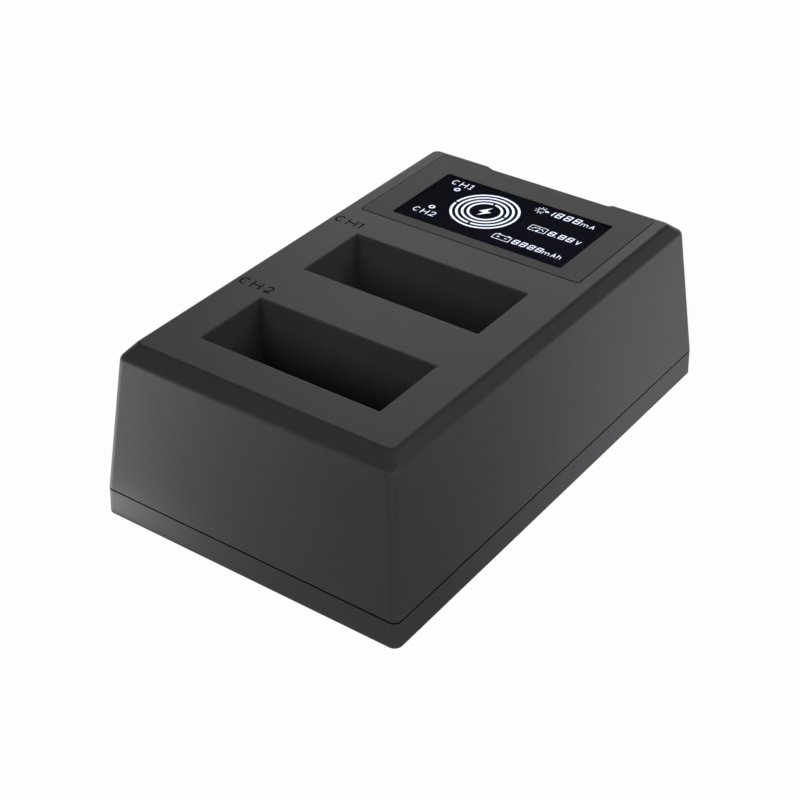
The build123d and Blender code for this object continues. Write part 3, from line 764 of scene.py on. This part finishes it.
# Soft boxes round the object, each with its place, what it faces, its width, height and power.
# The fill lamps leave no glint. The last one is a narrow weak beam into the battery bays.
soft_boxes = {
    "back_left": ((-0.235, 0.51, 0.225), (0.0, 0.0, 0.03), 0.34, 0.22, 0.334),
    "back": ((-0.33, 0.46, 0.42), (0.0, 0.03, 0.03), 0.50, 0.25, 0.284),
    "front": ((-0.02, -0.70, 0.42), (0.0, 0.0, 0.03), 0.45, 0.40, 5.3),
    "right": ((0.72, 0.06, 0.30), (0.0, 0.0, 0.03), 0.40, 0.35, 5.0),
    "bays": ((0.17, -0.27, 0.24), (-0.002, -0.004, 0.030), 0.030, 0.022, 0.0006),
}
fill_lamps = ("front", "right", "bays")
open_spread, bay_spread = 180.0, 4.0
for name, (stand, target, width, height, power) in soft_boxes.items():
    light = bpy.data.lights.new(name, "AREA")
    light.shape = "RECTANGLE"
    light.size = width
    light.size_y = height
    light.energy = power
    light.spread = radians(bay_spread if name == "bays" else open_spread)
    lamp = bpy.data.objects.new(name, light)
    lamp.visible_camera = False
    lamp.visible_glossy = name not in fill_lamps
    aim = (Vector(target) - Vector(stand)).to_track_quat("-Z", "Y")
    lamp.matrix_world = Matrix.Translation(stand) @ aim.to_matrix().to_4x4()
    scene.collection.objects.link(lamp)


def card(name, corners, material):
    """A flat card that only reflections show. Corners in millimetres."""
    sheet = bmesh.new()
    sheet.faces.new([sheet.verts.new(Vector(corner) * MM) for corner in corners])
    made = make_object(name, sheet, material)
    made.visible_camera = False
    made.visible_diffuse = False
    made.visible_shadow = False
    made.visible_transmission = False


def card_finish(name, level):
    """Card that shines with its own level over its length."""
    return finish(name, lambda graph: {
        "Base Color": grey(0.0),
        "Roughness": 1.0,
        "Specular IOR Level": 0.0,
        "Emission Color": level(graph),
        "Emission Strength": 1.0,
    })


growth = 2.71828    # rise of the glow for each length below


def left_glow(graph):
    """Grows to the left, so that the front of the case darkens towards its right corner."""
    length = 22
    far = graph.axis("Y") * (0.78 / length) - graph.axis("X") / length + 39 / length
    level = (0.17 + 0.297 * growth ** far).least(2.6)
    return graph.colour(level, level, level)


def rear_glow(graph):
    """Grows to the rear and a little blue, so that the right side darkens towards the front."""
    far = graph.axis("Y") - graph.axis("X") * 1.5 + 46.5
    level = graph.node("ShaderNodeMapRange", {"interpolation_type": "SMOOTHSTEP"}, {
        "Value": far, "From Min": -45.0, "From Max": 40.0, "To Min": 0.17, "To Max": 0.87})
    level = level * (0.30 + 0.70 * graph.spread(far, -105.0, -55.0))
    return graph.colour(level * 0.98, level * 0.98, level * 1.045)


def base_glow(graph):
    """Grows to the left along the strip before the base."""
    length = 13.5
    far = graph.axis("X") / -length - 2.2 / length
    level = (0.19 + 0.40 * growth ** far).least(3.5)
    return graph.colour(level, level, level)


def rim_glow(graph):
    """Grows to the rear and fades upwards, for the rear half of the right side."""
    rear = graph.spread(graph.axis("Y"), 78.0, 161.0)
    level = (0.20 + 0.62 * rear) * (1.0 - graph.spread(graph.axis("Z"), 15.0, 70.0))
    return graph.colour(level, level, level)


def dark_felt(graph):
    return graph.blend(graph.noise(500.0), grey(0.0), grey(0.002))


def grey_felt(graph):
    return graph.blend(graph.noise(40.0), grey(0.10), grey(0.13))


# The dark card stands where the smooth lens mirrors the soft box behind
lens_margin_w, lens_margin_l, card_reach = 0.62, 0.66, 0.9
mirrored_eye = Vector((eye.x / MM, eye.y / MM, 2 * lens_face - eye.z / MM))
lens_card = []
for sx, sy in corner_signs[2:] + corner_signs[:2]:
    corner = Vector((sx * lens_w * lens_margin_w, lens_y + sy * lens_l * lens_margin_l, lens_face))
    lens_card.append(corner + (corner - mirrored_eye) * card_reach)
card("lens_card", lens_card, card_finish("dark_felt", dark_felt))

# Two glowing cards on the floor, and a strip over them close to the front of the base
floor_card_z, base_card_z = 0.15, 0.20
card("left_card", [(x, y, floor_card_z) for x, y in (
    (-30, -48), (-200, -70), (-700, -620), (500, -620), (60, -220), (30, -48))],
    card_finish("left_card", left_glow))
card("rear_card", [(x, y, floor_card_z) for x, y in (
    (30, -48), (60, -220), (220, -60), (220, 220), (100, 220), (30, 48))],
    card_finish("rear_card", rear_glow))
card("base_card", [(x, y, base_card_z) for x, y in (
    (-70, -48.2), (-70, -54.4), (34, -54.4), (34, -48.2))],
    card_finish("base_card", base_glow))

# Two upright flags, one that glows at the right and a grey one far in front
flag_x, flag_y = 150, -620
card("right_flag", [(flag_x, y, z) for y, z in ((20, 0), (320, 0), (320, 75), (20, 75))],
     card_finish("right_flag", rim_glow))
card("front_flag", [(x, flag_y, z) for x, z in ((-900, 0), (600, 0), (600, 330), (-900, 330))],
     card_finish("grey_felt", grey_felt))

# Studio room: dim light all round, white to look at, and in gloss pale low down and dark above
room_level = 0.04
ceiling_level = 0.02
wall_low, wall_high = 0.05, 0.30
world = bpy.data.worlds.new("studio")
world.use_nodes = True
scene.world = world
graph = Graph(world.node_tree)
toward = graph.node("ShaderNodeTexCoord", out="Generated")
rise = graph.node("ShaderNodeSeparateXYZ", {}, {"Vector": toward}, out="Z")
tone = graph.blend(graph.spread(rise, wall_low, wall_high), grey(1.0), grey(ceiling_level))
room = graph.node("ShaderNodeBackground", {}, {"Color": grey(1.0), "Strength": room_level})
around = graph.node("ShaderNodeBackground", {}, {"Color": tone, "Strength": 1.0})
backdrop = graph.node("ShaderNodeBackground", {}, {"Color": grey(1.0), "Strength": 1.0})
lit_room = graph.node("ShaderNodeMixShader", {}, {0: rays(graph, "Glossy"), 1: room, 2: around})
looked_at = rays(graph, "Camera").most(rays(graph, "Transmission"))
seen = graph.node("ShaderNodeMixShader", {}, {0: looked_at, 1: lit_room, 2: backdrop})
graph.node("ShaderNodeOutputWorld", {}, {"Surface": seen})

scene.view_settings.view_transform = "Standard"
